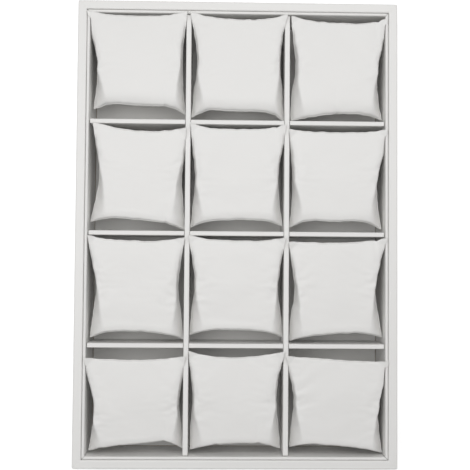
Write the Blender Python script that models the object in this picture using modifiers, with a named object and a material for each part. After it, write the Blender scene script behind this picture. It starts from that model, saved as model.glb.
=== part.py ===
"""Watch storage box: an open tray with a wrapped frame, interlocking dividers and twelve cushions.

The box lies flat. +X is across its three columns, +Y runs along its four rows towards the back, and +Z is up.
The origin is under the middle of the underside.
"""
import math

import bmesh
import bpy
from mathutils import Vector

# Outer frame
TRAY_WIDTH = 0.2414
TRAY_LENGTH = 0.3500
RIM_HEIGHT = 0.0450
RAIL_THICKNESS = 0.0064
RAIL_ROUND = 0.0010

# Lining strips against the inside of the frame
LINER_THICKNESS = 0.0022
LINER_ROUND = 0.0010
LINER_DROP = 0.0008

# Underside and floor
BACKING_THICKNESS = 0.0008
BACKING_INSET = 0.0015
BACKING_CORNER = 0.0020
BASE_THICKNESS = 0.0030
FLOOR_THICKNESS = 0.0010
FLOOR_ROUND = 0.0003

# Dividers
LONG_THICKNESS = 0.0038
CROSS_THICKNESS = 0.0034
DIVIDER_ROUND = 0.0006
DIVIDER_DROP = 0.0022
DIVIDER_END_CLEARANCE = 0.0006
LONG_PITCH = 0.0747
CROSS_PITCH = 0.0840
CROSS_SHIFT = -0.0002
COLUMNS = 3
ROWS = 4

# Cushions: their outline in plan
CUSHION_SIDE_CLEARANCE = 0.0006
CUSHION_BACK_CLEARANCE = 0.0012
CUSHION_FRONT_CLEARANCE = 0.0050
CUSHION_SIDE_PINCH = 0.0070
CUSHION_END_PINCH = 0.0045

# Cushions: how far the seam lies below the rim at the front corners, how fast it climbs to the rim at the
# back corners, and how far the middles of its ends depart from their corners
SEAM_CORNER_DROP = 0.0115
SEAM_CURL = 2.8
SEAM_BACK_SAG = 0.0018
SEAM_FRONT_ARCH = 0.0060

# Cushions: how the cover swells from the seam to a flat crown near the rim and sags to the floor below it
CROWN_RISE = 0.0003
CROWN_FRONT_FALL = 0.0008
CROWN_BACK_FALL = 0.0006
SHOULDER_DROP = 0.0012
SHOULDER_WIDTH = 0.0080
SHOULDER_CURVE = 3.0
EDGE_WIDTH = 0.0012
EDGE_CURVE = 2.0
FRONT_WIDTH = 0.0080
FRONT_CURVE = 2.4
EAR_WIDTH = 0.0090
EAR_CURVE = 1.0
EAR_START = 0.33
TUCK_SHARE = 0.40
CUSHION_SAG = 1.25

# Where the rows of a cushion's faces stand, from its middle to its seam
CAGE_STATIONS = (0.0, 0.35, 0.65, 0.78, 0.90, 0.97, 1.0)
SEAM_WELD = 0.00002

# How finely edges are rounded, and the least angle between faces that makes an edge
EDGE_SEGMENTS = 3
FLOOR_SEGMENTS = 2
CORNER_SEGMENTS = 4
EDGE_ANGLE = 40

# Clearances between pieces
SEAT_GAP = 0.0003
LINER_GAP = 0.0004
SLOT_CLEARANCE = 0.0003
CUTTER_MARGIN = 0.0100

# Heights worked out from the sizes above
RAIL_BOTTOM = BACKING_THICKNESS + SEAT_GAP
BASE_TOP = RAIL_BOTTOM + BASE_THICKNESS
LINING_BOTTOM = BASE_TOP + SEAT_GAP
FLOOR_TOP = LINING_BOTTOM + FLOOR_THICKNESS
FLOOR_SEAT = FLOOR_TOP + SEAT_GAP
DIVIDER_TOP = RIM_HEIGHT - DIVIDER_DROP
LAP_HEIGHT = (FLOOR_SEAT + DIVIDER_TOP) / 2

# Half sizes of the nested rectangles, from the outside in
OUTER = Vector((TRAY_WIDTH / 2, TRAY_LENGTH / 2))
RAIL_INNER = OUTER - Vector((RAIL_THICKNESS, RAIL_THICKNESS))
LINER_OUTER = RAIL_INNER - Vector((LINER_GAP, LINER_GAP))
LINER_INNER = LINER_OUTER - Vector((LINER_THICKNESS, LINER_THICKNESS))
FLOOR_OUTER = LINER_INNER - Vector((SEAT_GAP, SEAT_GAP))
DIVIDER_END = LINER_INNER - Vector((DIVIDER_END_CLEARANCE, DIVIDER_END_CLEARANCE))

LEATHERETTE = (0.80, 0.79, 0.78)
LINING_WHITE = (0.82, 0.81, 0.80)
BOARD_BROWN = (0.40, 0.30, 0.20)
BACKING_GREY = (0.55, 0.54, 0.53)

# Quarter turns that carry a piece built at +X round to each side of the tray
SIDES = {"right": 0, "back": 1, "left": 2, "front": 3}


def start_scene():
    """Empty the scene and add one collection for the pieces and one for the cutters."""
    for thing in list(bpy.data.objects):
        bpy.data.objects.remove(thing)
    pieces = bpy.data.collections.new("watch_storage_box")
    cutters = bpy.data.collections.new("cutters")
    bpy.context.scene.collection.children.link(pieces)
    bpy.context.scene.collection.children.link(cutters)
    return pieces, cutters


def make_material(name, colour, roughness):
    """A plain finish for one piece."""
    material = bpy.data.materials.new(name)
    material.use_nodes = True
    shader = material.node_tree.nodes["Principled BSDF"]
    shader.inputs["Base Color"].default_value = (*colour, 1.0)
    shader.inputs["Roughness"].default_value = roughness
    shader.inputs["Metallic"].default_value = 0.0
    return material


def link_mesh(name, mesh, collection):
    """An object for the mesh, in the collection."""
    thing = bpy.data.objects.new(name, mesh)
    collection.objects.link(thing)
    return thing


def add_box(name, low, high, collection):
    """A box between two corners, centred on its own origin."""
    size = high - low
    bm = bmesh.new()
    bmesh.ops.create_cube(bm, size=1.0)
    bmesh.ops.scale(bm, vec=size, verts=bm.verts)
    mesh = bpy.data.meshes.new(name)
    bm.to_mesh(mesh)
    bm.free()
    box = link_mesh(name, mesh, collection)
    box.location = (low + high) / 2
    return box


def hide_cutter(cutter):
    """Show a cutter as a wire only."""
    cutter.display_type = "WIRE"
    cutter.hide_render = True


def finish(piece, colour, roughness):
    """Give a piece its own finish."""
    piece.data.materials.append(make_material(piece.name, colour, roughness))


def round_edges(piece, radius, segments):
    """Round every sharp edge of a piece."""
    bevel = piece.modifiers.new("round_edges", "BEVEL")
    bevel.width = radius
    bevel.segments = segments
    bevel.limit_method = "ANGLE"
    bevel.angle_limit = math.radians(EDGE_ANGLE)


def cut(piece, cutter, operation):
    """Combine a piece with a cutter."""
    boolean = piece.modifiers.new(cutter.name, "BOOLEAN")
    boolean.operation = operation
    boolean.solver = "EXACT"
    boolean.object = cutter


def add_mitre_wedge(name, side, half, reach, cutters):
    """The sector that one side of a frame fills between its two mitred corners."""
    across, along = (half.x, half.y) if SIDES[side] % 2 == 0 else (half.y, half.x)
    mitre_offset = SEAT_GAP / math.sqrt(2)
    bm = bmesh.new()
    bmesh.ops.create_cube(bm, size=2.0)
    for vert in bm.verts:
        x = across + CUTTER_MARGIN if vert.co.x > 0 else across - reach
        end = along - (across - x) - mitre_offset
        z = RIM_HEIGHT + CUTTER_MARGIN if vert.co.z > 0 else -CUTTER_MARGIN
        vert.co = Vector((x, math.copysign(end, vert.co.y), z))
    mesh = bpy.data.meshes.new(name)
    bm.to_mesh(mesh)
    bm.free()
    wedge = link_mesh(name, mesh, cutters)
    wedge.rotation_euler.z = math.radians(90) * SIDES[side]
    hide_cutter(wedge)
    return wedge


def add_mitred_frame(prefix, outer, thickness, bottom, top, radius, pieces, cutters):
    """Four strips round a rectangle, rounded along their edges and mitred at the corners."""
    inner = outer - Vector((thickness, thickness))
    hollow_low = Vector((-inner.x, -inner.y, bottom - CUTTER_MARGIN))
    hollow_high = Vector((inner.x, inner.y, top + CUTTER_MARGIN))
    hollow = add_box(prefix + "_hollow", hollow_low, hollow_high, cutters)
    hide_cutter(hollow)
    for side in SIDES:
        low = Vector((-outer.x, -outer.y, bottom))
        high = Vector((outer.x, outer.y, top))
        strip = add_box(prefix + "_" + side, low, high, pieces)
        wedge = add_mitre_wedge(prefix + "_mitre_" + side, side, outer, thickness + CUTTER_MARGIN, cutters)
        cut(strip, hollow, "DIFFERENCE")
        round_edges(strip, radius, EDGE_SEGMENTS)
        cut(strip, wedge, "INTERSECT")
        finish(strip, LEATHERETTE, 0.5)


def add_sheet(name, half, bottom, top, corner, edge, pieces):
    """A flat board or sheet, with round corners in plan and round edges where they are given."""
    sheet = add_box(name, Vector((-half.x, -half.y, bottom)), Vector((half.x, half.y, top)), pieces)
    if corner > 0:
        bm = bmesh.new()
        bm.from_mesh(sheet.data)
        upright = [e for e in bm.edges if abs(e.verts[0].co.z - e.verts[1].co.z) > (top - bottom) / 2]
        bmesh.ops.bevel(
            bm, geom=upright, offset=corner, segments=CORNER_SEGMENTS, profile=0.5, affect="EDGES")
        bm.to_mesh(sheet.data)
        bm.free()
    if edge > 0:
        round_edges(sheet, edge, FLOOR_SEGMENTS)
    return sheet


def add_base(pieces):
    """The underside backing, the board glued between the rails, and the lining on the floor."""
    backing_half = OUTER - Vector((BACKING_INSET, BACKING_INSET))
    backing = add_sheet(
        "underside_backing", backing_half, 0.0, BACKING_THICKNESS, BACKING_CORNER, 0.0, pieces)
    finish(backing, BACKING_GREY, 0.9)
    board_half = RAIL_INNER - Vector((SEAT_GAP, SEAT_GAP))
    board = add_sheet("base_board", board_half, RAIL_BOTTOM, BASE_TOP, RAIL_ROUND, 0.0, pieces)
    finish(board, BOARD_BROWN, 0.8)
    lining = add_sheet("floor_lining", FLOOR_OUTER, LINING_BOTTOM, FLOOR_TOP, 0.0, FLOOR_ROUND, pieces)
    finish(lining, LINING_WHITE, 0.6)


def long_positions():
    """The x of each long divider, from left to right."""
    count = COLUMNS - 1
    return [(index - (count - 1) / 2) * LONG_PITCH for index in range(count)]


def cross_positions():
    """The y of each cross divider, from front to back."""
    count = ROWS - 1
    return [(index - (count - 1) / 2) * CROSS_PITCH + CROSS_SHIFT for index in range(count)]


def add_slots(divider, name, centres, half_slot, bottom, top, along_y, cutters):
    """Cut one open slot through a divider at each crossing."""
    for index, centre in enumerate(centres):
        if along_y:
            low = Vector((divider.location.x - CUTTER_MARGIN, centre - half_slot, bottom))
            high = Vector((divider.location.x + CUTTER_MARGIN, centre + half_slot, top))
        else:
            low = Vector((centre - half_slot, divider.location.y - CUTTER_MARGIN, bottom))
            high = Vector((centre + half_slot, divider.location.y + CUTTER_MARGIN, top))
        slot = add_box(name + "_slot_" + str(index + 1), low, high, cutters)
        hide_cutter(slot)
        cut(divider, slot, "DIFFERENCE")


def add_long_dividers(pieces, cutters):
    """The dividers that run from front to back, slotted from below."""
    half_slot = CROSS_THICKNESS / 2 + SLOT_CLEARANCE
    slot_top = LAP_HEIGHT + SEAT_GAP / 2
    for label, x in zip(("left", "right"), long_positions()):
        name = "long_divider_" + label
        low = Vector((x - LONG_THICKNESS / 2, -DIVIDER_END.y, FLOOR_SEAT))
        high = Vector((x + LONG_THICKNESS / 2, DIVIDER_END.y, DIVIDER_TOP))
        divider = add_box(name, low, high, pieces)
        round_edges(divider, DIVIDER_ROUND, EDGE_SEGMENTS)
        add_slots(divider, name, cross_positions(), half_slot, -CUTTER_MARGIN, slot_top, True, cutters)
        finish(divider, LEATHERETTE, 0.5)


def add_cross_dividers(pieces, cutters):
    """The dividers that run from left to right, slotted from above."""
    half_slot = LONG_THICKNESS / 2 + SLOT_CLEARANCE
    slot_bottom = LAP_HEIGHT - SEAT_GAP / 2
    slot_top = RIM_HEIGHT + CUTTER_MARGIN
    for label, y in zip(("front", "middle", "back"), cross_positions()):
        name = "cross_divider_" + label
        low = Vector((-DIVIDER_END.x, y - CROSS_THICKNESS / 2, FLOOR_SEAT))
        high = Vector((DIVIDER_END.x, y + CROSS_THICKNESS / 2, DIVIDER_TOP))
        divider = add_box(name, low, high, pieces)
        round_edges(divider, DIVIDER_ROUND, EDGE_SEGMENTS)
        add_slots(divider, name, long_positions(), half_slot, slot_bottom, slot_top, False, cutters)
        finish(divider, LEATHERETTE, 0.5)


def cell_spans(half_space, centres, thickness):
    """The clear spans that dividers leave between two walls."""
    starts = [-half_space] + [centre + thickness / 2 for centre in centres]
    ends = [centre - thickness / 2 for centre in centres] + [half_space]
    return list(zip(starts, ends))


def fall(distance, width, curve):
    """How far a cover has come down to the seam: 1 at the seam and 0 from the width inwards."""
    return max(0.0, 1 - distance / width) ** curve


def crown_height(v, from_side, ear):
    """The height that a cushion's cover would reach without its edges."""
    shoulder = fall(from_side, SHOULDER_WIDTH, SHOULDER_CURVE) * (1 - ear)
    front_fall = CROWN_FRONT_FALL * max(0.0, -v) ** 2
    back_fall = CROWN_BACK_FALL * max(0.0, v) ** 2
    return RIM_HEIGHT + CROWN_RISE - SHOULDER_DROP * shoulder - front_fall - back_fall


def cushion_point(u, v, side, span_x, span_y):
    """One point of a cushion, for u and v from -1 to 1 over one of its two faces.

    The back edge lies near the rim and the front edge deeper, and the sides draw in between the corners.
    Towards the front, past the tucks, the sides slope out into ears. Side is 1 on the face that shows and
    -1 below it.
    """
    half_x = (span_x[1] - span_x[0]) / 2 - CUSHION_SIDE_CLEARANCE
    front = span_y[0] + CUSHION_FRONT_CLEARANCE
    back = span_y[1] - CUSHION_BACK_CLEARANCE
    half_y = (back - front) / 2
    x = (span_x[0] + span_x[1]) / 2 + u * (half_x - CUSHION_SIDE_PINCH * (1 - v * v))
    y = (front + back) / 2 + v * (half_y - CUSHION_END_PINCH * (1 - u * u))
    along = (1 + v) / 2
    drop = SEAM_CORNER_DROP * (1 - along ** SEAM_CURL)
    drop += (1 - u ** 4) * (SEAM_BACK_SAG * along - SEAM_FRONT_ARCH * (1 - along))
    seam = RIM_HEIGHT - drop
    if side > 0:
        from_side = (1 - abs(u)) * half_x
        ear = max(0.0, 1 - along / TUCK_SHARE)
        side_curve = EDGE_CURVE + (EAR_CURVE - EDGE_CURVE) * min(1.0, ear / EAR_START)
        share = 1 - fall(from_side, EDGE_WIDTH + EAR_WIDTH * ear, side_curve)
        share *= 1 - fall((1 + v) * half_y, FRONT_WIDTH, FRONT_CURVE)
        share *= 1 - fall((1 - v) * half_y, EDGE_WIDTH, EDGE_CURVE)
        return Vector((x, y, seam + max(0.0, crown_height(v, from_side, ear) - seam) * share))
    inside = max(0.0, (1 - u * u) * (1 - v * v))
    depth = CUSHION_SAG * (seam - FLOOR_SEAT)
    return Vector((x, y, max(FLOOR_SEAT, seam - depth * math.sqrt(inside))))


def cage_station(place):
    """Where a row of the cage stands, for its place from -1 to 1 in an even grid."""
    step = round(abs(place) * (len(CAGE_STATIONS) - 1))
    return math.copysign(CAGE_STATIONS[step], place)


def cushion_face(bm, side, span_x, span_y):
    """One face of a cushion, with its rows closer together near the seam."""
    cells = 2 * (len(CAGE_STATIONS) - 1)
    grid = bmesh.ops.create_grid(bm, x_segments=cells, y_segments=cells, size=1.0)
    if side < 0:
        faces = list({face for vert in grid["verts"] for face in vert.link_faces})
        bmesh.ops.reverse_faces(bm, faces=faces)
    for vert in grid["verts"]:
        vert.co = cushion_point(cage_station(vert.co.x), cage_station(vert.co.y), side, span_x, span_y)


def add_cushion(name, span_x, span_y, pieces):
    """A stuffed square cushion with a seam all round and pointed corners."""
    bm = bmesh.new()
    cushion_face(bm, 1, span_x, span_y)
    cushion_face(bm, -1, span_x, span_y)
    seam_verts = list({vert for edge in bm.edges if edge.is_boundary for vert in edge.verts})
    bmesh.ops.remove_doubles(bm, verts=seam_verts, dist=SEAM_WELD)
    mesh = bpy.data.meshes.new(name)
    bm.to_mesh(mesh)
    bm.free()
    mesh.shade_smooth()
    cushion = link_mesh(name, mesh, pieces)
    finish(cushion, LEATHERETTE, 0.5)


def add_cushions(pieces):
    """One cushion in each compartment; row 1 is the back row and column 1 is on the left."""
    columns = cell_spans(LINER_INNER.x, long_positions(), LONG_THICKNESS)
    rows = cell_spans(LINER_INNER.y, cross_positions(), CROSS_THICKNESS)
    rows.reverse()
    for row, span_y in enumerate(rows):
        for column, span_x in enumerate(columns):
            add_cushion("cushion_r%d_c%d" % (row + 1, column + 1), span_x, span_y, pieces)


def main():
    pieces, cutters = start_scene()
    add_base(pieces)
    add_mitred_frame(
        "rail", OUTER, RAIL_THICKNESS, RAIL_BOTTOM, RIM_HEIGHT, RAIL_ROUND, pieces, cutters)
    add_mitred_frame(
        "liner", LINER_OUTER, LINER_THICKNESS, LINING_BOTTOM, RIM_HEIGHT - LINER_DROP, LINER_ROUND,
        pieces, cutters)
    add_long_dividers(pieces, cutters)
    add_cross_dividers(pieces, cutters)
    add_cushions(pieces)


main()
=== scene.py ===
"""The looks of an open watch storage box: a tray wrapped in white leatherette, with crossing dividers
and twelve stuffed cushions.

Row 1 is the back row and column 1 is on the left, as the box is seen from its front edge.
"""
import math

import bmesh
import bpy
import numpy as np
from bpy.props import FloatProperty, FloatVectorProperty, IntProperty, PointerProperty
from bpy.types import Operator, Panel, PropertyGroup
from mathutils import Euler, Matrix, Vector, noise


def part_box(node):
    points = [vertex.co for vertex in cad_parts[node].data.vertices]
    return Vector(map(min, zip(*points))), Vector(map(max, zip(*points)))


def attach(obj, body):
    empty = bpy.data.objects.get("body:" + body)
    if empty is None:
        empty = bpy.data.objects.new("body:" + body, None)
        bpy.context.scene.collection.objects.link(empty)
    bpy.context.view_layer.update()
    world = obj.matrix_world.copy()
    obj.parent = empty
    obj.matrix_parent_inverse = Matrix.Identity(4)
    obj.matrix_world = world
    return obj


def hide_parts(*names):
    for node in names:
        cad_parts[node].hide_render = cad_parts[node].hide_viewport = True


bl_info = {
    "name": "Watch storage box",
    "version": (1, 0, 0),
    "blender": (4, 5, 0),
    "location": "View3D > Sidebar > Watch box",
    "description": "Dresses the tray in leatherette and fills it with stuffed cushions",
    "category": "Object",
}

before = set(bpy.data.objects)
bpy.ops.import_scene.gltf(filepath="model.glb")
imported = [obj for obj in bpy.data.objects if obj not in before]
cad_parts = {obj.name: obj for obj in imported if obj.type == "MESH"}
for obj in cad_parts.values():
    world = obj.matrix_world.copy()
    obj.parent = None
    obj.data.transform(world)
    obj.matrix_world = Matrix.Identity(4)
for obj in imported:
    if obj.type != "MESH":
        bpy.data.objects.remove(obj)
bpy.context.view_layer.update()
BODY = "root"
MM = 0.001

# The photograph's camera, found from the edges of the tray
PHOTO_SIDE = 470
PHOTO_FOCAL = 850.0
SENSOR_WIDTH = 36.0
RIM_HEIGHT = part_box("rail_left")[1].z
CAMERA_PLACE = Vector((-0.0160, -0.0259, RIM_HEIGHT + 0.6349))
CAMERA_TURN = Euler((0.0385, -0.0232, 0.0074))

# The pieces of the frame
RAILS = ("rail_left", "rail_right", "rail_front", "rail_back")
LINERS = ("liner_left", "liner_right", "liner_front", "liner_back")
LONG_DIVIDERS = ("long_divider_left", "long_divider_right")
CROSS_DIVIDERS = ("cross_divider_back", "cross_divider_middle", "cross_divider_front")
DIVIDER_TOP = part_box("long_divider_left")[1].z
LINER_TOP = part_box("liner_left")[1].z
FLOOR_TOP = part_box("floor_lining")[1].z

# The wrapped frame: the angles that make up a rounded edge and the one at which the wrap is mitred, and the
# share of the radius over which the faces beside an edge are held flat
QUARTER_TURN = (0, 22.5, 45, 67.5, 90)
MITRE_ANGLE = 45
EDGE_HOLD = 0.35
LEAST_CORNER_RADIUS = 0.4 * MM

# The finer grain, as shares of the pebbles' number and height, and how far mottling changes the roughness
FINE_GRAIN_NUMBER = 0.45
FINE_GRAIN_HEIGHT = 0.6
ROUGHNESS_SWING = 0.3

# How far a cushion's seam lies below the rim, at the stations along each of its four edges
SIDE_STATIONS = np.array((0.0, 0.25, 0.5, 0.75, 1.0))
SIDE_DROPS = np.array((11.5, 11.0, 9.5, 5.0, -1.2)) * MM
END_STATIONS = np.array((0.0, 0.125, 0.5, 0.875, 1.0))
BACK_DROPS = np.array((-1.2, 0.8, 1.8, 0.8, -1.2)) * MM
FRONT_DROPS = np.array((11.5, 6.3, 4.4, 6.3, 11.5)) * MM
FIRST_ROW_FRONT_DROPS = np.array((12.0, 7.5, 5.7, 7.5, 12.0)) * MM

# How the cover rises from the seam: the width and the power of each roll's curve, and at the front also its
# fullness, which is 1 for a roll that falls in a quarter circle
BACK_ROLL = 1.2 * MM
SIDE_ROLL = 1.2 * MM
BACK_CURVE = 2.0
SIDE_CURVE = 2.2
FRONT_CURVE = 2.0
FRONT_ROLLS = {
    "cushion_r1_c1": (9.5 * MM, 0.93), "cushion_r1_c2": (9.5 * MM, 0.95), "cushion_r1_c3": (11.0 * MM, 0.96),
    "cushion_r2_c1": (6.5 * MM, 0.66), "cushion_r2_c2": (7.6 * MM, 0.82), "cushion_r2_c3": (7.8 * MM, 0.76),
    "cushion_r3_c1": (5.8 * MM, 0.55), "cushion_r3_c2": (5.0 * MM, 0.38), "cushion_r3_c3": (6.0 * MM, 0.52),
    "cushion_r4_c1": (6.0 * MM, 0.60), "cushion_r4_c2": (6.4 * MM, 0.70), "cushion_r4_c3": (5.4 * MM, 0.50),
}

# The ears below the tucks: their width, how much they flatten the side's curve, and how soon they do so
LEFT_EAR_WIDTH = 10.5 * MM
RIGHT_EAR_WIDTH = 9.5 * MM
LEFT_EAR_FLATNESS = 1.15
RIGHT_EAR_FLATNESS = 0.8
EAR_ONSET = 3.0

# The crown: its shoulders, its rise over the rim, and its fall from its highest place to front and back
SHOULDER_WIDTH = 8.0 * MM
SHOULDER_DROP = 1.2 * MM
SHOULDER_CURVE = 3.0
CROWN_RISE = 0.2 * MM
CROWN_PLACE = 0.1
CROWN_REACH = 0.9
CROWN_FALL_FRONT = 0.8 * MM
CROWN_FALL_BACK = 0.6 * MM

# The underside: its bulge as a share of the seam's height, and its gaps over the floor, first and settled
UNDERSIDE_BULGE = 1.25
FLOOR_GAP = 0.5 * MM
SETTLED_FLOOR_GAP = 0.4 * MM

# Slow unevenness of the stuffing
UNEVEN_PER_METRE = 38.0
UNEVEN_DEPTH = 0.45 * MM
UNEVEN_EDGE_CURVE = 4

# How far a cushion's tips may reach over the lining strips and over the dividers, the height over their tops
# at which that starts and over which it grows, and the gap that is kept to them lower down
LINER_REACH = 2.4 * MM
DIVIDER_REACH = 1.7 * MM
REACH_START = 0.3 * MM
REACH_SPAN = 0.6 * MM
WALL_GAP = 0.5 * MM

# How far a cover's cells crowd towards its seams, and how freely the cloth moves them: least in the middle
# and at the ends, and fully at the sides
EDGE_CROWDING = 0.6
LEAST_FREEDOM = 0.3
FREEDOM_START = 0.45
FREEDOM_SPAN = 0.35

# The noise in waves and gathers: its length where it changes slowly, the shift from one cushion's noise to
# the next, and the number added to a cushion's own for each further kind
SLOW_LENGTH = 60 * MM
SEED_SHIFT = (7.3, 3.1, 1.7)
END_WAVE_SEED = 40
GATHER_SEED = 80
GATHER_EDGE_SEED = 120

# Waves along the seams, and gathers that run in from them and are deepest at the tucks
WOBBLE_LENGTH = 5.0 * MM
WOBBLE_WIDTH = 4.0 * MM
WOBBLE_DEPTH = 0.5 * MM
GATHER_LENGTH = 8.0 * MM
GATHER_SPACING = 3.2 * MM
GATHER_DEPTH = 1.4 * MM
GATHER_START = 1.2 * MM
GATHER_SHARPNESS = 0.5
PLAIN_GATHERS = 0.35
TUCK_GATHERS = 1.1
TUCK_REACH = 12 * MM

# Folds pinched into the end seams: the edge and the pixel across at which each one starts. The notch is how
# far the seam's dent reaches, and the relief is the fold's height as a share of the dent's depth.
FOLD_WIDTH = 1.8 * MM
FOLD_LENGTH = 7.0 * MM
FOLD_DEPTH = 0.8 * MM
FOLD_NOTCH = 2.0 * MM
FOLD_RELIEF = 1.6
FOLDS = {
    "cushion_r1_c1": (("front", 164.0),),
    "cushion_r1_c2": (("front", 275.0),),
    "cushion_r1_c3": (("front", 337.0), ("back", 378.0)),
    "cushion_r2_c1": (("front", 165.0),),
    "cushion_r2_c2": (("back", 277.0),),
    "cushion_r3_c3": (("back", 377.0),),
    "cushion_r4_c1": (("front", 163.0),),
    "cushion_r4_c2": (("front", 215.0), ("front", 258.0)),
}

# Each cushion in the photograph's pixels: its corners, then the x of its left and right edges a quarter,
# half and three quarters of the way from front to back, the y of its back and front edges at an eighth,
# half and seven eighths of the way from left to right, and the y at which each side is tucked in
CUSHIONS = {
    "cushion_r1_c1": dict(
        back_left=(85.0, 9.5), back_right=(187.0, 10.0),
        front_left=(93.5, 108.5), front_right=(187.0, 114.0),
        left=(96.5, 97.0, 91.5), right=(182.5, 182.0, 183.5),
        back=(12.0, 15.3, 13.5), front=(104.5, 104.8, 108.5), tucks=(72.0, 66.0)),
    "cushion_r1_c2": dict(
        back_left=(190.0, 11.0), back_right=(288.0, 14.0),
        front_left=(190.5, 117.0), front_right=(284.0, 120.0),
        left=(194.0, 197.0, 195.0), right=(281.5, 279.5, 281.5),
        back=(14.8, 19.2, 17.0), front=(111.3, 110.7, 113.8), tucks=(75.0, 70.0)),
    "cushion_r1_c3": dict(
        back_left=(291.0, 15.5), back_right=(388.0, 18.0),
        front_left=(290.0, 120.0), front_right=(382.0, 120.0),
        left=(291.5, 295.5, 293.5), right=(377.0, 377.0, 382.0),
        back=(18.9, 22.9, 21.3), front=(117.9, 113.4, 115.8), tucks=(75.0, 75.0)),
    "cushion_r2_c1": dict(
        back_left=(92.5, 121.5), back_right=(185.4, 127.5),
        front_left=(90.0, 221.0), front_right=(184.0, 228.6),
        left=(96.0, 99.5, 96.0), right=(182.5, 181.0, 184.0),
        back=(124.7, 130.5, 129.4), front=(218.4, 218.8, 224.8), tucks=(167.0, 166.0)),
    "cushion_r2_c2": dict(
        back_left=(190.0, 122.5), back_right=(286.0, 124.0),
        front_left=(189.5, 227.0), front_right=(283.0, 226.0),
        left=(193.0, 195.0, 192.5), right=(278.5, 277.5, 281.5),
        back=(126.2, 129.1, 127.0), front=(222.5, 219.1, 221.8), tucks=(184.0, 182.0)),
    "cushion_r2_c3": dict(
        back_left=(289.0, 129.0), back_right=(387.2, 129.0),
        front_left=(289.0, 227.0), front_right=(380.0, 228.7),
        left=(291.5, 292.0, 291.0), right=(377.0, 376.5, 382.5),
        back=(130.5, 132.0, 131.2), front=(221.8, 220.9, 223.0), tucks=(182.0, 180.0)),
    "cushion_r3_c1": dict(
        back_left=(87.0, 234.5), back_right=(184.0, 237.0),
        front_left=(89.5, 336.5), front_right=(183.0, 338.0),
        left=(93.0, 96.2, 91.6), right=(180.0, 177.5, 180.0),
        back=(237.6, 240.6, 239.4), front=(332.6, 330.7, 334.8), tucks=(284.0, 295.0)),
    "cushion_r3_c2": dict(
        back_left=(188.0, 234.5), back_right=(285.0, 237.0),
        front_left=(189.0, 334.5), front_right=(283.0, 335.7),
        left=(191.5, 194.5, 192.0), right=(279.5, 277.0, 280.5),
        back=(237.6, 240.2, 239.1), front=(331.0, 329.1, 332.7), tucks=(290.0, 290.0)),
    "cushion_r3_c3": dict(
        back_left=(288.0, 241.5), back_right=(387.0, 238.0),
        front_left=(289.0, 340.0), front_right=(381.0, 337.0),
        left=(290.5, 294.5, 292.0), right=(377.0, 374.5, 379.5),
        back=(242.0, 242.4, 240.0), front=(337.1, 333.1, 333.6), tucks=(285.0, 285.0)),
    "cushion_r4_c1": dict(
        back_left=(83.0, 358.0), back_right=(187.0, 356.0),
        front_left=(88.0, 449.5), front_right=(183.0, 447.0),
        left=(92.0, 93.6, 88.5), right=(180.3, 178.2, 181.3),
        back=(358.4, 359.7, 357.6), front=(447.1, 443.2, 442.1), tucks=(420.0, 410.0)),
    "cushion_r4_c2": dict(
        back_left=(188.0, 350.5), back_right=(284.0, 351.5),
        front_left=(189.5, 449.0), front_right=(279.0, 447.5),
        left=(190.5, 192.5, 191.0), right=(277.5, 275.5, 278.0),
        back=(354.2, 357.2, 353.8), front=(446.0, 442.8, 444.2), tucks=(405.0, 405.0)),
    "cushion_r4_c3": dict(
        back_left=(286.0, 356.0), back_right=(388.5, 361.5),
        front_left=(289.0, 446.0), front_right=(382.5, 451.7),
        left=(291.0, 293.5, 290.5), right=(378.0, 377.5, 383.0),
        back=(356.9, 359.4, 361.6), front=(443.8, 444.8, 449.4), tucks=(405.0, 405.0)),
}


class LeatherSettings(PropertyGroup):
    """Colours and grain of the leatherette and the other coverings."""
    cover_colour: FloatVectorProperty(
        name="Cover colour", description="Colour of the leatherette on frame, dividers and cushions",
        default=(0.848, 0.840, 0.824), subtype="COLOR", size=3, min=0.0, max=1.0)
    lining_colour: FloatVectorProperty(
        name="Lining colour", description="Colour of the lining on the floor of the compartments",
        default=(0.84, 0.832, 0.812), subtype="COLOR", size=3, min=0.0, max=1.0)
    board_colour: FloatVectorProperty(
        name="Board colour", description="Colour of the bare fibreboard under the lining",
        default=(0.42, 0.31, 0.20), subtype="COLOR", size=3, min=0.0, max=1.0)
    backing_colour: FloatVectorProperty(
        name="Backing colour", description="Colour of the cloth under the box",
        default=(0.50, 0.49, 0.48), subtype="COLOR", size=3, min=0.0, max=1.0)
    grain_size: FloatProperty(
        name="Grain size", description="Width of one pebble of the leatherette's grain",
        default=0.6 * MM, min=0.1 * MM, max=5 * MM, precision=5, subtype="DISTANCE", unit="LENGTH")
    grain_height: FloatProperty(
        name="Grain height", description="How far the pebbles stand up",
        default=0.03 * MM, min=0.0, max=0.5 * MM, precision=6, subtype="DISTANCE", unit="LENGTH")


class WrapSettings(PropertyGroup):
    """Sizes of the leatherette wrapped round the frame."""
    corner_radius: FloatProperty(
        name="Corner radius", description="Rounding of the frame's upright outer corners",
        default=1.2 * MM, min=0.2 * MM, max=5 * MM, precision=5, subtype="DISTANCE", unit="LENGTH")
    edge_radius: FloatProperty(
        name="Edge radius", description="Rounding of the frame's long edges",
        default=1.0 * MM, min=0.2 * MM, max=3 * MM, precision=5, subtype="DISTANCE", unit="LENGTH")
    mitre_depth: FloatProperty(
        name="Mitre depth", description="Depth of the crease where the wrap is folded at a corner",
        default=0.15 * MM, min=0.0, max=1 * MM, precision=5, subtype="DISTANCE", unit="LENGTH")


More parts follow.
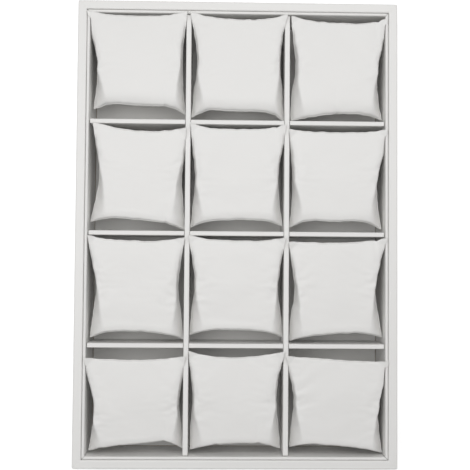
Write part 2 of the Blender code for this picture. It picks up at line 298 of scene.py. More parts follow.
class CushionSettings(PropertyGroup):
    """Mesh and stuffing of the cushions."""
    cells: IntProperty(
        name="Cells", description="Cells of a cushion's cover along each side",
        default=52, min=8, max=80)
    pressure: FloatProperty(
        name="Stuffing pressure", description="How hard the stuffing pushes on the cover",
        default=2.0, min=0.0, max=50.0)
    slack: FloatProperty(
        name="Slack", description="Share by which the cover is cut larger than the cushion",
        default=0.006, min=0.0, max=0.2, subtype="FACTOR")
    settle_frames: IntProperty(
        name="Settling frames", description="Frames over which the cover settles on its stuffing",
        default=10, min=2, max=60)
    reach: FloatProperty(
        name="Reach", description="How far the cover may move from its first shape",
        default=1.2 * MM, min=0.0, max=10 * MM, precision=5, subtype="DISTANCE", unit="LENGTH")
    fill: FloatProperty(
        name="Fill", description="How tight the stuffing is",
        default=0.8, min=0.0, max=1.0, subtype="FACTOR")
    welt_radius: FloatProperty(
        name="Welt radius", description="Radius of the turned edge along the seam",
        default=0.28 * MM, min=0.05 * MM, max=2 * MM, precision=6, subtype="DISTANCE", unit="LENGTH")


class StageSettings(PropertyGroup):
    """Floor and lights."""
    sky_strength: FloatProperty(
        name="Sky strength", description="Even light from all round",
        default=0.40, min=0.0, max=5.0)
    lamp_power: FloatProperty(
        name="Lamp power", description="Power of the soft overhead lamp",
        default=3.45, min=0.0, max=100.0, subtype="POWER", unit="POWER")
    lamp_width: FloatProperty(
        name="Lamp width", description="Size of the overhead lamp from left to right",
        default=1.1, min=0.1, max=5.0, subtype="DISTANCE", unit="LENGTH")
    lamp_depth: FloatProperty(
        name="Lamp depth", description="Size of the overhead lamp from front to back",
        default=0.50, min=0.1, max=5.0, subtype="DISTANCE", unit="LENGTH")
    lamp_side: FloatProperty(
        name="Lamp side", description="How far the lamp stands to the right of the box",
        default=-0.06, min=-2.0, max=2.0, subtype="DISTANCE", unit="LENGTH")
    lamp_height: FloatProperty(
        name="Lamp height", description="Height of the lamp above the floor",
        default=0.75, min=0.2, max=5.0, subtype="DISTANCE", unit="LENGTH")
    lamp_shift: FloatProperty(
        name="Lamp shift", description="How far the lamp stands towards the back of the box",
        default=0.155, min=-2.0, max=2.0, subtype="DISTANCE", unit="LENGTH")
    floor_glow: FloatProperty(
        name="Floor glow", description="Brightness that the floor adds for the camera",
        default=0.45, min=0.0, max=1.0)


class WatchBoxSettings(PropertyGroup):
    """All the settings of the watch storage box."""
    leather: PointerProperty(type=LeatherSettings)
    wrap: PointerProperty(type=WrapSettings)
    cushion: PointerProperty(type=CushionSettings)
    stage: PointerProperty(type=StageSettings)


def add_node(tree, kind, **values):
    """A node with some of its inputs set, each named by its label with underscores for spaces."""
    node = tree.nodes.new(kind)
    for label, value in values.items():
        node.inputs[label.replace("_", " ")].default_value = value
    return node


def add_math(tree, operation, first, second):
    """A math node on two inputs, each a socket or a number."""
    node = tree.nodes.new("ShaderNodeMath")
    node.operation = operation
    for socket, value in zip(node.inputs, (first, second)):
        if isinstance(value, (int, float)):
            socket.default_value = value
        else:
            tree.links.new(value, socket)
    return node.outputs["Value"]


def new_group(name, kind, inputs, outputs):
    """A node group and the sockets inside it. Each input has a kind and a first value, each output a kind."""
    tree = bpy.data.node_groups.new(name, kind)
    for label, (socket_kind, value) in inputs.items():
        socket = tree.interface.new_socket(
            name=label, in_out="INPUT", socket_type="NodeSocket" + socket_kind)
        if value is not None:
            socket.default_value = value
    for label, socket_kind in outputs.items():
        tree.interface.new_socket(name=label, in_out="OUTPUT", socket_type="NodeSocket" + socket_kind)
    given = tree.nodes.new("NodeGroupInput")
    result = tree.nodes.new("NodeGroupOutput")
    return tree, given.outputs, result.inputs


def grain_group():
    """The leatherette's surface: pebbled grain as a height, and a slow mottling as a mask."""
    name = "leatherette_grain"
    if name in bpy.data.node_groups:
        return bpy.data.node_groups[name]
    tree, given, result = new_group(
        name, "ShaderNodeTree",
        {"Place": ("Vector", None), "Pebbles per Metre": ("Float", 1600.0),
         "Mottles per Metre": ("Float", 40.0)},
        {"Height": "Float", "Mottle": "Float"})
    pebble = add_node(tree, "ShaderNodeTexVoronoi", Randomness=0.9)
    fine = add_node(tree, "ShaderNodeTexNoise", Detail=2.0, Roughness=0.6)
    slow = add_node(tree, "ShaderNodeTexNoise", Detail=2.0, Roughness=0.55)
    for texture in (pebble, fine, slow):
        tree.links.new(given["Place"], texture.inputs["Vector"])
    finer = add_math(tree, "MULTIPLY", given["Pebbles per Metre"], FINE_GRAIN_NUMBER)
    tree.links.new(given["Pebbles per Metre"], pebble.inputs["Scale"])
    tree.links.new(finer, fine.inputs["Scale"])
    tree.links.new(given["Mottles per Metre"], slow.inputs["Scale"])
    rounded = add_math(tree, "SUBTRACT", 1.0, pebble.outputs["Distance"])
    rough = add_math(tree, "MULTIPLY", fine.outputs["Fac"], FINE_GRAIN_HEIGHT)
    tree.links.new(add_math(tree, "ADD", rounded, rough), result["Height"])
    tree.links.new(slow.outputs["Fac"], result["Mottle"])
    return tree


def spread_group():
    """A colour lightened and darkened by a mask, and a roughness that follows the same mask."""
    name = "mottled_finish"
    if name in bpy.data.node_groups:
        return bpy.data.node_groups[name]
    tree, given, result = new_group(
        name, "ShaderNodeTree",
        {"Colour": ("Color", (0.8, 0.8, 0.8, 1.0)), "Mask": ("Float", 0.5), "Contrast": ("Float", 0.05),
         "Mean Roughness": ("Float", 0.5)},
        {"Colour": "Color", "Roughness": "Float"})
    centred = add_math(tree, "SUBTRACT", given["Mask"], 0.5)
    gain = add_math(tree, "ADD", add_math(tree, "MULTIPLY", centred, given["Contrast"]), 1.0)
    tint = tree.nodes.new("ShaderNodeVectorMath")
    tint.operation = "SCALE"
    tree.links.new(given["Colour"], tint.inputs["Vector"])
    tree.links.new(gain, tint.inputs["Scale"])
    tree.links.new(tint.outputs["Vector"], result["Colour"])
    dulled = add_math(tree, "MULTIPLY", centred, ROUGHNESS_SWING)
    tree.links.new(add_math(tree, "ADD", given["Mean Roughness"], dulled), result["Roughness"])
    return tree


def new_material(name):
    """A material, its tree, and the places on the piece that its textures follow."""
    material = bpy.data.materials.new(name)
    material.use_nodes = True
    tree = material.node_tree
    place = tree.nodes.new("ShaderNodeTexCoord")
    return material, tree, place.outputs["Object"]


def add_surface(tree, colour, contrast, roughness, mask, height, depth):
    """Give the shader a colour and a roughness that follow a mask, and a relief that follows a height."""
    shader = tree.nodes["Principled BSDF"]
    finish = tree.nodes.new("ShaderNodeGroup")
    finish.node_tree = spread_group()
    finish.inputs["Colour"].default_value = (*colour, 1.0)
    finish.inputs["Contrast"].default_value = contrast
    finish.inputs["Mean Roughness"].default_value = roughness
    bump = add_node(tree, "ShaderNodeBump", Strength=1.0, Distance=depth)
    tree.links.new(mask, finish.inputs["Mask"])
    tree.links.new(finish.outputs["Colour"], shader.inputs["Base Color"])
    tree.links.new(finish.outputs["Roughness"], shader.inputs["Roughness"])
    tree.links.new(height, bump.inputs["Height"])
    tree.links.new(bump.outputs["Normal"], shader.inputs["Normal"])


def covering(name, leather, colour, mottles, contrast, roughness, pebble_share=1.0):
    """A leatherette or coated paper finish, with its own grain, mottling and sheen."""
    material, tree, place = new_material(name)
    grain = tree.nodes.new("ShaderNodeGroup")
    grain.node_tree = grain_group()
    grain.inputs["Pebbles per Metre"].default_value = 1 / (leather.grain_size * pebble_share)
    grain.inputs["Mottles per Metre"].default_value = mottles
    tree.links.new(place, grain.inputs["Place"])
    add_surface(
        tree, colour, contrast, roughness, grain.outputs["Mottle"], grain.outputs["Height"],
        leather.grain_height)
    return material


def fibreboard(colour):
    """Pressed board with short pale and dark fibres."""
    material, tree, place = new_material("fibreboard")
    stretch = tree.nodes.new("ShaderNodeMapping")
    stretch.inputs["Scale"].default_value = (1.0, 0.35, 1.0)
    fibres = add_node(tree, "ShaderNodeTexNoise", Scale=1500.0, Detail=5.0, Roughness=0.7)
    tree.links.new(place, stretch.inputs["Vector"])
    tree.links.new(stretch.outputs["Vector"], fibres.inputs["Vector"])
    add_surface(
        tree, colour, contrast=0.9, roughness=0.85, mask=fibres.outputs["Fac"],
        height=fibres.outputs["Fac"], depth=0.05 * MM)
    return material


def backing_cloth(colour):
    """Plain woven cloth, its two sets of threads made by crossed waves."""
    material, tree, place = new_material("backing_cloth")
    threads = []
    for direction in ("X", "Y"):
        wave = add_node(tree, "ShaderNodeTexWave", Scale=260.0, Distortion=0.6, Detail=2.0)
        wave.bands_direction = direction
        tree.links.new(place, wave.inputs["Vector"])
        threads.append(wave.outputs["Fac"])
    weave = add_math(tree, "MULTIPLY", add_math(tree, "ADD", *threads), 1 / len(threads))
    add_surface(tree, colour, contrast=0.35, roughness=0.9, mask=weave, height=weave, depth=0.12 * MM)
    return material


def give_finish(names, material):
    """Put one finish on carried-over pieces."""
    for name in names:
        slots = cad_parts[name].data.materials
        slots.clear()
        slots.append(material)


def link_piece(name, mesh, material):
    """A new piece at the origin, with its finish."""
    piece = bpy.data.objects.new(name, mesh)
    bpy.context.scene.collection.objects.link(piece)
    mesh.materials.append(material)
    return piece


def rail_profile(width, low, high, radius):
    """The rail's section as points of inset and height, up the outside, over the top and down the inside."""
    arc = [math.radians(angle) for angle in QUARTER_TURN]
    hold = radius * EDGE_HOLD
    points = []
    points += [(radius - radius * math.sin(a), low + radius - radius * math.cos(a)) for a in arc]
    points.append((0.0, low + radius + hold))
    points.append((0.0, high - radius - hold))
    points += [(radius - radius * math.cos(a), high - radius + radius * math.sin(a)) for a in arc]
    points.append((radius + hold, high))
    points.append((width - radius - hold, high))
    points += [(width - radius + radius * math.sin(a), high - radius + radius * math.cos(a)) for a in arc]
    points.append((width, high - radius - hold))
    points.append((width, low + radius + hold))
    points += [(width - radius + radius * math.cos(a), low + radius - radius * math.sin(a)) for a in arc]
    return points


def wrapped_frame_mesh(wrap):
    """A closed ring of four rails with rounded upright corners and a fine crease at each mitre."""
    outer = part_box("rail_right")[1].x
    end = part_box("rail_back")[1].y
    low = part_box("rail_left")[0].z
    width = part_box("rail_right")[1].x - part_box("rail_right")[0].x
    section = rail_profile(width, low, RIM_HEIGHT, wrap.edge_radius)
    quarters = ((1, 1), (-1, 1), (-1, -1), (1, -1))
    bm = bmesh.new()
    rings = []
    for inset, height in section:
        radius = max(wrap.corner_radius - inset, LEAST_CORNER_RADIUS)
        ring = []
        for quarter, (side_x, side_y) in enumerate(quarters):
            centre_x = side_x * (outer - inset - radius)
            centre_y = side_y * (end - inset - radius)
            for angle in QUARTER_TURN:
                turn = math.radians(angle + 90 * quarter)
                on_mitre = angle == MITRE_ANGLE and height > RIM_HEIGHT - wrap.edge_radius
                crease = wrap.mitre_depth if on_mitre else 0.0
                x = centre_x + radius * math.cos(turn)
                y = centre_y + radius * math.sin(turn)
                ring.append(bm.verts.new((x, y, height - crease)))
        rings.append(ring)
    count = len(rings[0])
    for index, ring in enumerate(rings):
        following = rings[(index + 1) % len(rings)]
        for step in range(count):
            after = (step + 1) % count
            bm.faces.new((ring[step], ring[after], following[after], following[step]))
    bmesh.ops.recalc_face_normals(bm, faces=bm.faces)
    mesh = bpy.data.meshes.new("wrapped_frame")
    bm.to_mesh(mesh)
    bm.free()
    mesh.shade_smooth()
    return mesh


def photo_point(pixel, height):
    """The point at this height that the photograph shows at the centre of this pixel."""
    middle = (PHOTO_SIDE - 1) / 2
    ray = Vector(((pixel[0] - middle) / PHOTO_FOCAL, (middle - pixel[1]) / PHOTO_FOCAL, -1.0))
    ray.rotate(CAMERA_TURN)
    reach = (height - CAMERA_PLACE.z) / ray.z
    return np.array(CAMERA_PLACE + ray * reach)


def row_and_column(name):
    """A cushion's row and column, from its name."""
    return int(name[-4]), int(name[-1])


def cell_box(name):
    """The clear space of a cushion's compartment: low x, high x, low y, high y."""
    row, column = row_and_column(name)
    walls_x = [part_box("liner_left")[1].x]
    for divider in LONG_DIVIDERS:
        walls_x += [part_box(divider)[0].x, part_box(divider)[1].x]
    walls_x.append(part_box("liner_right")[0].x)
    walls_y = [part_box("liner_back")[0].y]
    for divider in CROSS_DIVIDERS:
        walls_y += [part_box(divider)[1].y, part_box(divider)[0].y]
    walls_y.append(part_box("liner_front")[1].y)
    return (*walls_x[2 * column - 2:2 * column], walls_y[2 * row - 1], walls_y[2 * row - 2])


def cushion_grid(cells):
    """Places and faces of a closed cushion: two square sheets that share their edge points.

    Each place runs from -1 to 1 across and along. Its third number is 1 above, -1 below and 0 on the seam.
    """
    places = []
    index = {}
    for side in (1, -1):
        for row in range(cells + 1):
            for column in range(cells + 1):
                on_edge = row in (0, cells) or column in (0, cells)
                key = (row, column, 0 if on_edge else side)
                if key not in index:
                    index[key] = len(places)
                    places.append((2 * column / cells - 1, 2 * row / cells - 1, key[2]))
    faces = []
    for side in (1, -1):
        for row in range(cells):
            for column in range(cells):
                corners = ((row, column), (row, column + 1), (row + 1, column + 1), (row + 1, column))
                face = []
                for r, c in corners:
                    on_edge = r in (0, cells) or c in (0, cells)
                    face.append(index[(r, c, 0 if on_edge else side)])
                faces.append(face if side > 0 else face[::-1])
    places = np.array(places, dtype=float)
    crowded = np.sin(places[:, :2] * math.pi / 2)
    places[:, :2] = (1 - EDGE_CROWDING) * places[:, :2] + EDGE_CROWDING * crowded
    return places, faces


def smooth_line(at, stations, values):
    """A smooth curve through the values at the stations."""
    slopes = np.gradient(values, stations, axis=0)
    index = np.clip(np.searchsorted(stations, at) - 1, 0, len(stations) - 2)
    span = (stations[index + 1] - stations[index])[:, None]
    share = (at - stations[index])[:, None] / span
    start = (1 + 2 * share) * (1 - share) ** 2 * values[index]
    end = share ** 2 * (3 - 2 * share) * values[index + 1]
    leave = share * (1 - share) ** 2 * span * slopes[index]
    arrive = share ** 2 * (share - 1) * span * slopes[index + 1]
    return start + end + leave + arrive


def seam_points(name, edge):
    """The seam's points at the stations along one edge of a cushion."""
    front_drops = FIRST_ROW_FRONT_DROPS if "_r1_" in name else FRONT_DROPS
    first, last, drops, stations = {
        "left": ("front_left", "back_left", SIDE_DROPS, SIDE_STATIONS),
        "right": ("front_right", "back_right", SIDE_DROPS, SIDE_STATIONS),
        "back": ("back_left", "back_right", BACK_DROPS, END_STATIONS),
        "front": ("front_left", "front_right", front_drops, END_STATIONS)}[edge]
    look = CUSHIONS[name]
    start = np.array(look[first])
    end = np.array(look[last])
    pixels = start + np.outer(stations, end - start)
    pixels[1:-1, 0 if edge in ("left", "right") else 1] = look[edge]
    points = np.array([photo_point(pixel, RIM_HEIGHT - drop) for pixel, drop in zip(pixels, drops)])
    return fit_cell(points, name)


def fit_cell(points, name):
    """Hold points inside the compartment, but let what rises above its walls reach over them."""
    low_x, high_x, low_y, high_y = cell_box(name)
    row, column = row_and_column(name)
    held = points.copy()
    for axis, wall, way, at_liner in (
            (0, low_x, -1, column == 1), (0, high_x, 1, column == 3),
            (1, low_y, -1, row == 4), (1, high_y, 1, row == 1)):
        top = LINER_TOP if at_liner else DIVIDER_TOP
        reach = LINER_REACH if at_liner else DIVIDER_REACH
        over = np.clip((points[:, 2] - top - REACH_START) / REACH_SPAN, 0, 1)
        bound = wall + way * (over * (reach + WALL_GAP) - WALL_GAP)
        held[:, axis] = np.minimum(held[:, axis], bound) if way > 0 else np.maximum(held[:, axis], bound)
    return held


def fall(distance, width, power):
    """How far a surface has fallen to the seam: 1 at the seam and 0 once the distance reaches the width."""
    return (1 - np.clip(distance / width, 0, 1)) ** power


def noise_at(points, scales, seed):
    """Smooth noise at the points, stretched along each axis by its scale."""
    shift = Vector([seed * part for part in SEED_SHIFT])
    return np.array([noise.noise(Vector(point) + shift) for point in points / np.array(scales)])


def seam_wobble(points, from_side, from_end, seed):
    """Small waves along the seam, which die out towards the middle of the cushion."""
    sides = noise_at(points, (SLOW_LENGTH, WOBBLE_LENGTH, SLOW_LENGTH), seed)
    sides *= np.exp(-from_side / WOBBLE_WIDTH)
    ends = noise_at(points, (WOBBLE_LENGTH, SLOW_LENGTH, SLOW_LENGTH), seed + END_WAVE_SEED)
    ends *= np.exp(-from_end / WOBBLE_WIDTH)
    return WOBBLE_DEPTH * np.stack((sides, ends, sides + ends), axis=1)


def gathers(points, from_side, from_tuck, seed):
    """Short wrinkles that run in from the side seams, deepest at the tucks."""
    scales = (GATHER_LENGTH, GATHER_SPACING, SLOW_LENGTH)
    waves = noise_at(points, scales, seed + GATHER_SEED)
    waves -= GATHER_SHARPNESS * np.abs(noise_at(points, scales, seed + GATHER_EDGE_SEED))
    strength = PLAIN_GATHERS + TUCK_GATHERS * np.exp(-(from_tuck / TUCK_REACH) ** 2)
    start = 1 - np.exp(-from_side / GATHER_START)
    return GATHER_DEPTH * waves * strength * start * np.exp(-from_side / GATHER_LENGTH)


def pinched_folds(name, points, from_back, from_front):
    """Folds pinched into the end seams: how far each point moves in from the seam, and how far it rises."""
    inwards = np.zeros(len(points))
    rise = np.zeros(len(points))
    for edge, place in FOLDS.get(name, ()):
        middle_y = np.mean([CUSHIONS[name][edge + "_left"][1], CUSHIONS[name][edge + "_right"][1]])
        from_fold = (points[:, 0] - photo_point((place, middle_y), RIM_HEIGHT)[0]) / FOLD_WIDTH
        from_end = from_back if edge == "back" else from_front
        way = -1 if edge == "back" else 1
        inwards += way * FOLD_DEPTH * np.exp(-from_fold ** 2 - from_end / FOLD_NOTCH)
        rise += FOLD_RELIEF * FOLD_DEPTH * from_fold * np.exp(-from_fold ** 2 - from_end / FOLD_LENGTH)
    return inwards, rise


def seam_patch(name, across, along):
    """The smooth surface between a cushion's seams, with half its width and half its length."""
    seam = {edge: seam_points(name, edge) for edge in ("left", "right", "back", "front")}
    front_left, back_left = seam["left"][0], seam["left"][-1]
    front_right, back_right = seam["right"][0], seam["right"][-1]
    s = across[:, None]
    t = along[:, None]
    patch = (
        smooth_line(along, SIDE_STATIONS, seam["left"]) * (1 - s)
        + smooth_line(along, SIDE_STATIONS, seam["right"]) * s
        + smooth_line(across, END_STATIONS, seam["front"]) * (1 - t)
        + smooth_line(across, END_STATIONS, seam["back"]) * t
        - front_left * (1 - s) * (1 - t) - front_right * s * (1 - t)
        - back_left * (1 - s) * t - back_right * s * t)
    return patch, (back_right[0] - back_left[0]) / 2, (back_left[1] - front_left[1]) / 2


def ear_share(look, u, along):
    """How far each point lies into the ear on its side: 0 down to the tuck, and 1 at the front corner."""
    ear = np.zeros(len(u))
    for sign, tuck, back, front in (
            (-1, look["tucks"][0], look["back_left"][1], look["front_left"][1]),
            (1, look["tucks"][1], look["back_right"][1], look["front_right"][1])):
        tuck_share = (front - tuck) / (front - back)
        here = np.clip(1 - along / tuck_share, 0, 1)
        ear = np.where(np.sign(u) == sign, here, ear)
    return ear


def crown_height(from_side, v, ear):
    """The height to which the stuffing would lift the cover, if no roll held it down."""
    shoulder = fall(from_side, SHOULDER_WIDTH, SHOULDER_CURVE) * (1 - ear)
    return (
        RIM_HEIGHT + CROWN_RISE - SHOULDER_DROP * shoulder
        - CROWN_FALL_FRONT * np.clip((CROWN_PLACE - v) / CROWN_REACH, 0, 1) ** 2
        - CROWN_FALL_BACK * np.clip((v - CROWN_PLACE) / CROWN_REACH, 0, 1) ** 2)


def cushion_points(name, places, seed):
    """The first shape of one cushion, from its seam in the photograph."""
    look = CUSHIONS[name]
    u, v, side = places.T
    across = (u + 1) / 2
    along = (v + 1) / 2
    middle, half_width, half_length = seam_patch(name, across, along)
    from_side = (1 - np.abs(u)) * half_width
    from_back = (1 - v) * half_length
    from_front = (1 + v) * half_length
    middle += seam_wobble(middle, from_side, np.minimum(from_back, from_front), seed)
    inwards, rise = pinched_folds(name, middle, from_back, from_front)
    middle[:, 1] += inwards
    ear = ear_share(look, u, along)
    ear_flatness = np.where(u < 0, LEFT_EAR_FLATNESS, RIGHT_EAR_FLATNESS) * np.minimum(1, EAR_ONSET * ear)
    ear_width = np.where(u < 0, LEFT_EAR_WIDTH, RIGHT_EAR_WIDTH) * ear
    side_fall = fall(from_side, SIDE_ROLL + ear_width, SIDE_CURVE - ear_flatness)
    roll_width, fullness = FRONT_ROLLS[name]
    front_fall = 1 - np.sqrt(1 - fullness * fall(from_front, roll_width, FRONT_CURVE))
    back_fall = fall(from_back, BACK_ROLL, BACK_CURVE)
    seam = middle[:, 2]
    lift = np.maximum(crown_height(from_side, v, ear) - seam, 0)
    top = seam + lift * (1 - side_fall) * (1 - front_fall) * (1 - back_fall)
    tucks = np.where(u < 0, look["tucks"][0], look["tucks"][1])
    tuck_place = (look["front_left"][1] - tucks) / (look["front_left"][1] - look["back_left"][1])
    from_tuck = (along - tuck_place) * 2 * half_length
    top += (gathers(middle, from_side, from_tuck, seed) + rise) * (1 - front_fall) * (1 - back_fall)
    swell = np.sqrt(np.clip((1 - u * u) * (1 - v * v), 0, 1))
    floor = FLOOR_TOP + FLOOR_GAP
    bottom = np.maximum(floor, seam - UNDERSIDE_BULGE * (seam - floor) * swell)
    points = middle.copy()
    points[:, 2] = np.where(side > 0, top, np.where(side < 0, bottom, seam))
    return points


def uneven(points, places, seed):
    """Slow unevenness of the stuffing, which dies out at the seam."""
    inside = (1 - places[:, 0] ** UNEVEN_EDGE_CURVE) * (1 - places[:, 1] ** UNEVEN_EDGE_CURVE)
    shift = Vector((seed * SEED_SHIFT[0], seed * SEED_SHIFT[1], 0.0))
    moved = points.copy()
    for index, point in enumerate(points):
        where = Vector(point) * UNEVEN_PER_METRE + shift
        moved[index, 2] += UNEVEN_DEPTH * noise.noise(where) * inside[index]
    return moved


def settle(starts, faces, on_seam, freedom, cushion):
    """Let every cover settle on its stuffing by cloth simulation, with the seams held.

    Freedom is the share of the cloth's movement that each point keeps.
    """
    count = len(starts[0])
    points = np.concatenate(starts)
    every_face = [[corner + count * k for corner in face] for k in range(len(starts)) for face in faces]
    mesh = bpy.data.meshes.new("covers")
    mesh.from_pydata(points.tolist(), [], every_face)
    covers = bpy.data.objects.new("covers", mesh)
    scene = bpy.context.scene
    scene.collection.objects.link(covers)
    held = covers.vertex_groups.new(name="seam")
    for k in range(len(starts)):
        held.add([int(index) + count * k for index in np.flatnonzero(on_seam)], 1.0, "REPLACE")
    cloth = covers.modifiers.new("cloth", "CLOTH")
    settings = cloth.settings
    settings.quality = 4
    settings.mass = 0.2
    settings.tension_stiffness = 20
    settings.compression_stiffness = 20
    settings.shear_stiffness = 10
    settings.bending_stiffness = 0.3
    settings.air_damping = 4
    settings.effector_weights.gravity = 0
    settings.use_pressure = True
    settings.uniform_pressure_force = cushion.pressure
    settings.vertex_group_mass = "seam"
    settings.shrink_min = -cushion.slack
    settings.shrink_max = -cushion.slack
    cloth.collision_settings.use_collision = False
    cloth.point_cache.frame_start = 1
    cloth.point_cache.frame_end = cushion.settle_frames
    for step in range(1, cushion.settle_frames + 1):
        scene.frame_set(step)
    result = covers.evaluated_get(bpy.context.evaluated_depsgraph_get()).to_mesh()
    settled = np.empty(len(points) * 3)
    result.vertices.foreach_get("co", settled)
    bpy.data.objects.remove(covers)
    scene.frame_set(1)
    moved = (settled.reshape(-1, 3) - points) * np.tile(freedom, len(starts))[:, None]
    length = np.linalg.norm(moved, axis=1)[:, None]
    capped = moved / np.maximum(1.0, length / cushion.reach)
    return np.split(points + capped, len(starts))


def cover_mesh(name, points, faces, on_seam):
    """The mesh of one cover, creased along its seam."""
    mesh = bpy.data.meshes.new(name)
    mesh.from_pydata(points.tolist(), [], faces)
    mesh.shade_smooth()
    crease = mesh.attributes.new("crease_edge", "FLOAT", "EDGE")
    for edge in mesh.edges:
        first, last = edge.vertices
        crease.data[edge.index].value = 1.0 if on_seam[first] and on_seam[last] else 0.0
    return mesh


def seam_order(places, on_seam):
    """The seam's points in order round the cushion."""
    indices = np.flatnonzero(on_seam)
    turn = np.arctan2(places[indices, 1], places[indices, 0])
    return indices[np.argsort(turn)]


def welt_tree():
    """Geometry nodes that run a round welt along the edges of a mesh."""
    tree, given, result = new_group(
        "seam_welt", "GeometryNodeTree",
        {"Seam": ("Geometry", None), "Welt Radius": ("Float", 0.3 * MM), "Section Points": ("Int", 6),
         "Finish": ("Material", None)},
        {"Welt": "Geometry"})
    path = tree.nodes.new("GeometryNodeMeshToCurve")
    section = tree.nodes.new("GeometryNodeCurvePrimitiveCircle")
    tube = tree.nodes.new("GeometryNodeCurveToMesh")
    smooth = tree.nodes.new("GeometryNodeSetShadeSmooth")
    real = tree.nodes.new("GeometryNodeRealizeInstances")
    paint = tree.nodes.new("GeometryNodeSetMaterial")
    for start, end in (
            (given["Seam"], path.inputs["Mesh"]),
            (given["Section Points"], section.inputs["Resolution"]),
            (given["Welt Radius"], section.inputs["Radius"]),
            (path.outputs["Curve"], tube.inputs["Curve"]),
            (section.outputs["Curve"], tube.inputs["Profile Curve"]),
            (tube.outputs["Mesh"], smooth.inputs["Geometry"]),
            (smooth.outputs["Geometry"], real.inputs["Geometry"]),
            (real.outputs["Geometry"], paint.inputs["Geometry"]),
            (given["Finish"], paint.inputs["Material"]),
            (paint.outputs["Geometry"], result["Welt"])):
        tree.links.new(start, end)
    return tree


def run_tree(piece, tree, values):
    """Run a geometry nodes tree on a piece and keep its result as a plain mesh."""
    modifier = piece.modifiers.new("nodes", "NODES")
    modifier.node_group = tree
    for item in tree.interface.items_tree:
        if item.item_type == "SOCKET" and item.in_out == "INPUT" and item.name in values:
            modifier[item.identifier] = values[item.name]
    depsgraph = bpy.context.evaluated_depsgraph_get()
    mesh = bpy.data.meshes.new_from_object(piece.evaluated_get(depsgraph))
    piece.modifiers.remove(modifier)
    piece.data = mesh
    return piece


class WATCH_BOX_OT_wrap_frame(Operator):
    """Wrap the four rails in one covering of leatherette"""
    bl_idname = "watch_box.wrap_frame"
    bl_label = "Wrap frame"

    def execute(self, context):
        box = context.scene.watch_box
        leather = box.leather
        cover = covering(
            "frame_leatherette", leather, leather.cover_colour, mottles=30.0, contrast=0.03, roughness=0.45)
        piece = link_piece("wrapped_frame", wrapped_frame_mesh(box.wrap), cover)
        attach(piece, BODY)
        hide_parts(*RAILS)
        return {"FINISHED"}


class WATCH_BOX_OT_line_frame(Operator):
    """Finish the lining strips and the dividers"""
    bl_idname = "watch_box.line_frame"
    bl_label = "Line frame"

    def execute(self, context):
        leather = context.scene.watch_box.leather
        lining = covering(
            "liner_leatherette", leather, leather.cover_colour, mottles=35.0, contrast=0.03, roughness=0.5)
        give_finish(LINERS, lining)
        wrap = covering(
            "divider_leatherette", leather, leather.cover_colour, mottles=45.0, contrast=0.03, roughness=0.5)
        give_finish(LONG_DIVIDERS + CROSS_DIVIDERS, wrap)
        return {"FINISHED"}


class WATCH_BOX_OT_finish_base(Operator):
    """Finish the floor lining, the board under it and the backing cloth"""
    bl_idname = "watch_box.finish_base"
    bl_label = "Finish base"

    def execute(self, context):
        leather = context.scene.watch_box.leather
        lining = covering(
            "floor_lining_paper", leather, leather.lining_colour, mottles=60.0, contrast=0.05,
            roughness=0.6, pebble_share=0.8)
        give_finish(("floor_lining",), lining)
        give_finish(("base_board",), fibreboard(leather.board_colour))
        give_finish(("underside_backing",), backing_cloth(leather.backing_colour))
        return {"FINISHED"}


class WATCH_BOX_OT_stuff_cushions(Operator):
    """Sew and stuff the twelve cushions, with the turned edge along their seams"""
    bl_idname = "watch_box.stuff_cushions"
    bl_label = "Stuff cushions"

    def execute(self, context):
        box = context.scene.watch_box
        leather = box.leather
        cushion = box.cushion
        cover = covering(
            "cushion_leatherette", leather, leather.cover_colour, mottles=28.0, contrast=0.04, roughness=0.5)
        places, faces = cushion_grid(cushion.cells)
        on_seam = places[:, 2] == 0
        starts = []
        for seed, name in enumerate(CUSHIONS):
            starts.append(uneven(cushion_points(name, places, seed), places, seed))
        near_side = np.clip((np.abs(places[:, 0]) - FREEDOM_START) / FREEDOM_SPAN, 0, 1)
        near_end = np.clip((np.abs(places[:, 1]) - FREEDOM_START) / FREEDOM_SPAN, 0, 1)
        freedom = LEAST_FREEDOM + (1 - LEAST_FREEDOM) * near_side * (1 - near_end)
        starts = settle(starts, faces, on_seam, freedom, cushion)
        ring = seam_order(places, on_seam)
        welt_points = []
        welt_edges = []
        for name, points in zip(CUSHIONS, starts):
            held = fit_cell(points, name)
            held[:, 2] = np.maximum(held[:, 2], FLOOR_TOP + SETTLED_FLOOR_GAP)
            piece = link_piece(name + "_cover", cover_mesh(name + "_cover", held, faces, on_seam), cover)
            soften = piece.modifiers.new("soften", "SUBSURF")
            soften.levels = 1
            soften.render_levels = 1
            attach(piece, BODY)
            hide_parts(name)
            first = len(welt_points)
            welt_points += held[ring].tolist()
            count = len(ring)
            welt_edges += [(first + step, first + (step + 1) % count) for step in range(count)]
        path = bpy.data.meshes.new("cushion_seams")
        path.from_pydata(welt_points, welt_edges, [])
        welt = link_piece("cushion_seams", path, cover)
        values = {"Welt Radius": cushion.welt_radius, "Section Points": 6, "Finish": cover}
        run_tree(welt, welt_tree(), values)
        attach(welt, BODY)
        return {"FINISHED"}


class WATCH_BOX_OT_set_stage(Operator):
    """Add the camera, the floor and the lights"""
    bl_idname = "watch_box.set_stage"
    bl_label = "Set stage"

    def execute(self, context):
        stage = context.scene.watch_box.stage
        add_camera(context.scene)
        add_floor(stage.floor_glow)
        add_lights(context.scene, stage)
        context.scene.view_settings.view_transform = "Standard"
        return {"FINISHED"}


def add_camera(scene):
    """A camera that sees the box as the photograph does."""
    camera_data = bpy.data.cameras.new("photo_camera")
    camera_data.sensor_width = SENSOR_WIDTH
    camera_data.lens = PHOTO_FOCAL * SENSOR_WIDTH / PHOTO_SIDE
    camera = bpy.data.objects.new("photo_camera", camera_data)
    camera.location = CAMERA_PLACE
    camera.rotation_euler = CAMERA_TURN
    scene.collection.objects.link(camera)
    scene.camera = camera


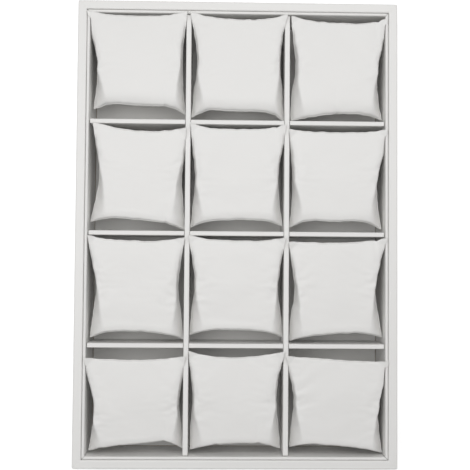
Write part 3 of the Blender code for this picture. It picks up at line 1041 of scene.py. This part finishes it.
def seen_rays(tree):
    """1 for what the camera sees, by itself, in a reflection or through glass, and 0 for the light."""
    path = tree.nodes.new("ShaderNodeLightPath")
    seen = add_math(tree, "MAXIMUM", path.outputs["Is Camera Ray"], path.outputs["Is Glossy Ray"])
    return add_math(tree, "MAXIMUM", seen, path.outputs["Is Transmission Ray"])


def add_floor(glow):
    """A plain pale floor that shows white and keeps the box's shadow."""
    half = 3.0
    mesh = bpy.data.meshes.new("studio_floor")
    corners = [(-half, -half, 0.0), (half, -half, 0.0), (half, half, 0.0), (-half, half, 0.0)]
    mesh.from_pydata(corners, [], [(0, 1, 2, 3)])
    material = bpy.data.materials.new("studio_floor")
    material.use_nodes = True
    tree = material.node_tree
    shader = tree.nodes["Principled BSDF"]
    shader.inputs["Base Color"].default_value = (0.9, 0.9, 0.9, 1.0)
    shader.inputs["Roughness"].default_value = 0.9
    shader.inputs["Emission Color"].default_value = (1.0, 1.0, 1.0, 1.0)
    tree.links.new(add_math(tree, "MULTIPLY", seen_rays(tree), glow), shader.inputs["Emission Strength"])
    link_piece("studio_floor", mesh, material)


def add_lights(scene, stage):
    """Even light from all round, white to the camera, and one large soft lamp overhead, towards the back."""
    world = bpy.data.worlds.new("studio")
    scene.world = world
    world.use_nodes = True
    tree = world.node_tree
    sky = tree.nodes["Background"]
    sky.inputs["Color"].default_value = (1.0, 1.0, 1.0, 1.0)
    extra = add_math(tree, "MULTIPLY", seen_rays(tree), 1 - stage.sky_strength)
    tree.links.new(add_math(tree, "ADD", extra, stage.sky_strength), sky.inputs["Strength"])
    lamp_data = bpy.data.lights.new("overhead_lamp", "AREA")
    lamp_data.shape = "RECTANGLE"
    lamp_data.size = stage.lamp_width
    lamp_data.size_y = stage.lamp_depth
    lamp_data.energy = stage.lamp_power
    lamp = bpy.data.objects.new("overhead_lamp", lamp_data)
    lamp.location = (stage.lamp_side, stage.lamp_shift, stage.lamp_height)
    lamp.visible_camera = False
    lamp.rotation_euler = (-lamp.location).to_track_quat("-Z", "Y").to_euler()
    scene.collection.objects.link(lamp)


class WATCH_BOX_PT_panel(Panel):
    """Lists the steps that dress the box, with their settings"""
    bl_idname = "WATCH_BOX_PT_panel"
    bl_label = "Watch box"
    bl_space_type = "VIEW_3D"
    bl_region_type = "UI"
    bl_category = "Watch box"

    def draw(self, context):
        box = context.scene.watch_box
        for title, settings, operators in (
                ("Frame", box.wrap, ("wrap_frame", "line_frame")),
                ("Coverings", box.leather, ("finish_base",)),
                ("Cushions", box.cushion, ("stuff_cushions",)),
                ("Stage", box.stage, ("set_stage",))):
            part = self.layout.box()
            part.label(text=title)
            for name in settings.__annotations__:
                part.prop(settings, name)
            for operator in operators:
                part.operator("watch_box." + operator)


CLASSES = (
    LeatherSettings, WrapSettings, CushionSettings, StageSettings, WatchBoxSettings,
    WATCH_BOX_OT_wrap_frame, WATCH_BOX_OT_line_frame, WATCH_BOX_OT_finish_base,
    WATCH_BOX_OT_stuff_cushions, WATCH_BOX_OT_set_stage, WATCH_BOX_PT_panel)


def register():
    """Add the settings, the operators and the panel."""
    for item in CLASSES:
        bpy.utils.register_class(item)
    bpy.types.Scene.watch_box = PointerProperty(type=WatchBoxSettings)


def unregister():
    """Take them away again."""
    del bpy.types.Scene.watch_box
    for item in reversed(CLASSES):
        bpy.utils.unregister_class(item)


def main():
    """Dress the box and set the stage."""
    register()
    bpy.ops.watch_box.wrap_frame()
    bpy.ops.watch_box.line_frame()
    bpy.ops.watch_box.finish_base()
    bpy.ops.watch_box.stuff_cushions()
    bpy.ops.watch_box.set_stage()


if __name__ == "__main__":
    main()
